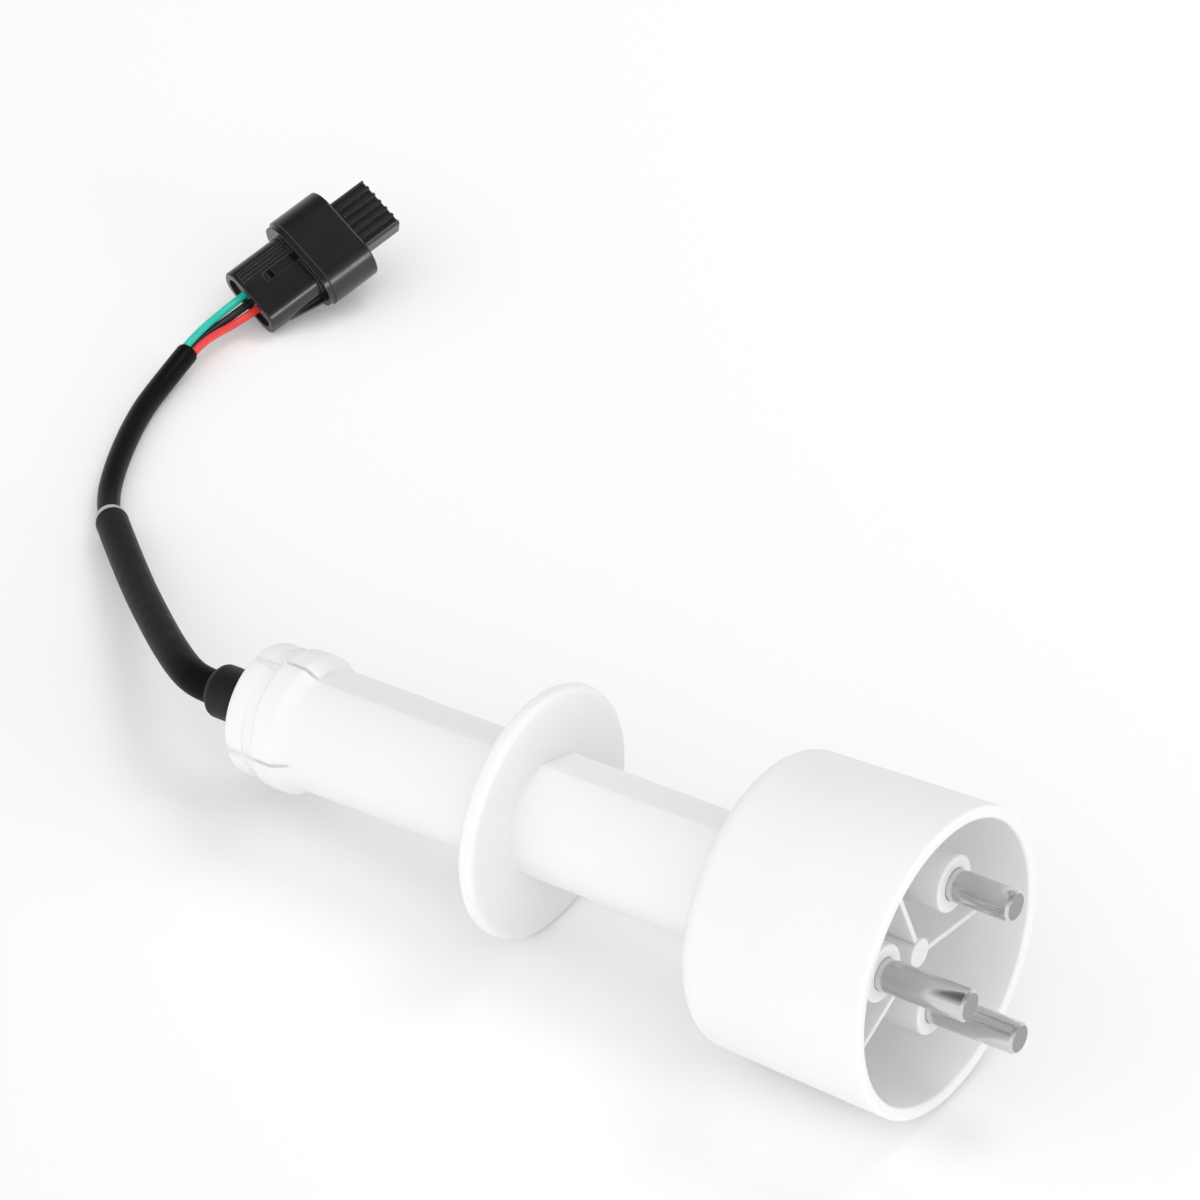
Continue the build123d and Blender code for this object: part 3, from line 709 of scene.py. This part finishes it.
# End plug. A white plug with a thin head closes the stem's end, and the grommet goes through
# its hole. It is snapped in once the leads are connected.
plug_head, plug_head_radius, plug_radius = -67.5, 11.2, 9.95
plug_front, plug_hole_radius = -64.0, 5.0
plug_outline = rounded(
    [
        (collar_back, plug_hole_radius, 0.25),
        (collar_back, plug_head_radius, 0.3),
        (plug_head, plug_head_radius, 0),
        (plug_head, plug_radius, 0),
        (plug_front, plug_radius, 0.3),
        (plug_front, plug_hole_radius, 0),
    ]
)
plug = mesh_piece(
    "stem_plug",
    turned(plug_outline, round_angles).reshape(-1, 3),
    grid_faces(len(plug_outline), len(round_angles), closed_rows=True),
)
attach(plug, "root")
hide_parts("end_plug")
plug.data.materials.append(white_plastic)

# Grommet. Black rubber, moulded with a flange behind the plug and a short round-shouldered
# boot outside it, which grips the cable.
grommet_flange, grommet_flange_radius, grommet_neck_radius = -62.0, 6.5, 4.95
boot_radius, boot_shoulder, boot_end, boot_end_radius = 5.5, -79.6, -81.0, 4.0
boot_outline = rounded(
    [
        (grommet_flange, 0, 0),
        (grommet_flange, grommet_flange_radius, 0.3),
        (plug_front, grommet_flange_radius, 0),
        (plug_front, grommet_neck_radius, 0),
        (collar_back, grommet_neck_radius, 0),
        (collar_back, boot_radius, 0.15),
        (boot_shoulder, boot_radius, 1.7),
        (boot_end, boot_end_radius, 0.3),
        (boot_end, 0, 0),
    ],
    closed=False,
)
boot = mesh_piece(
    "grommet_boot",
    turned(boot_outline, round_angles).reshape(-1, 3),
    grid_faces(len(boot_outline), len(round_angles)),
)
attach(boot, "root")
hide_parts("cable_grommet")
boot_rubber, tree, shader = new_finish("boot_rubber", (0.009, 0.009, 0.0095), 0.46, 0.28)
tree.links.new(between(tree, noise(tree, 400, 3), 0.42, 0.58), shader.inputs["Roughness"])
bump(tree, shader, noise(tree, 1800, 3), 0.00003, 0.6)
boot.data.materials.append(boot_rubber)

# Connector. A glass-filled nylon housing, moulded black with a soft gloss and its edges painted
# lighter
# as a highlight, and the parts in it: grey silicone seals, the lock block and tinned contacts.
edge_radius = 0.0003
housing_black, tree, shader = new_finish("housing_black", (0.006, 0.006, 0.0065), 0.24, 0.7)
tree.links.new(between(tree, noise(tree, 300, 3), 0.18, 0.3), shader.inputs["Roughness"])
bevel = tree.nodes.new("ShaderNodeBevel")
bevel.inputs["Radius"].default_value = edge_radius
bevel.samples = 6
bump(tree, shader, noise(tree, 1400, 3), 0.00002, 0.5, after=bevel.outputs["Normal"])
faces_way = tree.nodes.new("ShaderNodeNewGeometry")
flatness = tree.nodes.new("ShaderNodeVectorMath")
flatness.operation = "DOT_PRODUCT"
tree.links.new(bevel.outputs["Normal"], flatness.inputs[0])
tree.links.new(faces_way.outputs["True Normal"], flatness.inputs[1])
# Where the bevelled normal turns away from the face, at the edges, the base colour goes lighter:
# a painted edge highlight
painted_edge_highlight = between(tree, flatness.outputs["Value"], 1.0, 0.0, first=0.8, last=0.97)
tree.links.new(
    tinted(tree, painted_edge_highlight, (0.008, 0.008, 0.0085), (0.09, 0.09, 0.092)),
    shader.inputs["Base Color"],
)
seal_grey, tree, shader = new_finish("seal_grey", (0.2, 0.205, 0.21), 0.55)
bump(tree, shader, noise(tree, 1500, 3), 0.00003, 0.6)
tinned_brass, tree, shader = new_finish("tinned_brass", (0.72, 0.69, 0.6), 0.3)
shader.inputs["Metallic"].default_value = 1.0
bump(tree, shader, noise(tree, 1800, 3), 0.00002, 0.5)
node_finishes = {
    "connector_housing": housing_black,
    "secondary_lock": housing_black,
    "wire_seal": seal_grey,
    "interface_seal": seal_grey,
}
for index in (1, 2, 3):
    node_finishes[f"contact_{index}"] = tinned_brass

# Inside the stem. The nuts that pull the electrodes tight, their black seals, the crimped
# ring terminals and the three leads, which are the cable's own wires.
seal_black, tree, shader = new_finish("seal_black", (0.015, 0.015, 0.015), 0.5)
bump(tree, shader, noise(tree, 1500, 3), 0.00003, 0.6)
node_finishes["electrode_nuts"] = stainless
for index in (1, 2, 3):
    node_finishes[f"ring_terminal_{index}"] = tinned_brass
    node_finishes[f"electrode_seal_{index}"] = seal_black
for wire in wires:
    lead = wire.name.replace("insulation", "lead")
    node_finishes[lead] = wire.data.materials[0]
for node, finish in node_finishes.items():
    node_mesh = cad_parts[node].data
    node_mesh.materials.clear()
    node_mesh.materials.append(finish)

# Table. A wide matt white sheet. A small share of its white is its own for the rays that see
# the background, and the rest is lit, so that it keeps the probe's soft shadow.
table_half = 4.0
table_mesh = bpy.data.meshes.new("table")
table_mesh.from_pydata(
    [
        (-table_half, -table_half, 0),
        (table_half, -table_half, 0),
        (table_half, table_half, 0),
        (-table_half, table_half, 0),
    ],
    [],
    [(0, 1, 2, 3)],
)
table = bpy.data.objects.new("table", table_mesh)
scene.collection.objects.link(table)
table_white, tree, shader = new_finish("table_white", (1.0, 1.0, 1.0), 0.9, 0.1)
glow = tree.nodes.new("ShaderNodeEmission")
glow.inputs["Strength"].default_value = 1.0
seen_share = tree.nodes.new("ShaderNodeMath")
seen_share.operation = "MULTIPLY"
seen_share.inputs[1].default_value = 0.12
table_mix = tree.nodes.new("ShaderNodeMixShader")


def seeing_rays(tree):
    """1 for the rays that show the background: the camera's, mirrored and transmitted ones."""
    rays = tree.nodes.new("ShaderNodeLightPath")
    found = rays.outputs["Is Camera Ray"]
    for kind in ("Is Glossy Ray", "Is Transmission Ray"):
        wider = tree.nodes.new("ShaderNodeMath")
        wider.operation = "MAXIMUM"
        tree.links.new(found, wider.inputs[0])
        tree.links.new(rays.outputs[kind], wider.inputs[1])
        found = wider.outputs["Value"]
    return found


tree.links.new(seeing_rays(tree), seen_share.inputs[0])
tree.links.new(seen_share.outputs["Value"], table_mix.inputs["Fac"])
tree.links.new(shader.outputs["BSDF"], table_mix.inputs[1])
tree.links.new(glow.outputs["Emission"], table_mix.inputs[2])
tree.links.new(table_mix.outputs["Shader"], tree.nodes["Material Output"].inputs["Surface"])
table_mesh.materials.append(table_white)

# Room. White walls that are seen and mirrored as white at eye level and darker overhead. They
# light the probe most from the front, some from above, and a little from the electrodes' side.
world = bpy.data.worlds.new("room")
scene.world = world
world.use_nodes = True
tree = world.node_tree
tree.nodes.remove(tree.nodes["Background"])
direction = tree.nodes.new("ShaderNodeTexCoord")
parts = tree.nodes.new("ShaderNodeSeparateXYZ")
tree.links.new(direction.outputs["Generated"], parts.inputs["Vector"])


def background(strength):
    """White room light, whose strength follows a node's output."""
    node = tree.nodes.new("ShaderNodeBackground")
    node.inputs["Color"].default_value = (1, 1, 1, 1)
    tree.links.new(strength, node.inputs["Strength"])
    return node.outputs["Background"]


def added(first, second):
    """The sum of two outputs."""
    node = tree.nodes.new("ShaderNodeMath")
    tree.links.new(first, node.inputs[0])
    tree.links.new(second, node.inputs[1])
    return node.outputs["Value"]


seen = between(tree, parts.outputs["Z"], 1.0, 0.12, first=0.12, last=0.8)
from_front = between(tree, parts.outputs["Y"], 1.25, 0.12, first=-1.0, last=0.2)
from_electrodes = between(tree, parts.outputs["X"], 0.0, 0.38, first=-0.2, last=1.0)
from_above = between(tree, parts.outputs["Z"], 0.0, 0.45, first=0.2, last=1.0)
room = tree.nodes.new("ShaderNodeMixShader")
tree.links.new(seeing_rays(tree), room.inputs["Fac"])
tree.links.new(background(added(added(from_front, from_electrodes), from_above)), room.inputs[1])
tree.links.new(background(seen), room.inputs[2])
tree.links.new(room.outputs["Shader"], tree.nodes["World Output"].inputs["Surface"])


# Lamps. A large soft box above and behind throws the soft shadow, and a small one at the
# electrodes' side lights the inside of the cup.
def area_lamp(name, place, aim, size, power):
    """A square soft box at a place, turned to its aim."""
    data = bpy.data.lights.new(name, "AREA")
    data.size = size
    data.energy = power
    lamp = bpy.data.objects.new(name, data)
    lamp.location = place
    back = np.array(place, float) - np.array(aim, float)
    lamp.rotation_euler = (
        float(np.arctan2(np.hypot(back[0], back[1]), back[2])),
        0,
        float(np.arctan2(back[0], -back[1])),
    )
    scene.collection.objects.link(lamp)


area_lamp("key", (0.12, 0.6, 1.12), (0, 0, 0.03), size=0.6, power=3.2)
area_lamp("side", (1.15, 0.02, 0.3), (0.03, 0, 0.03), size=0.3, power=1.85)
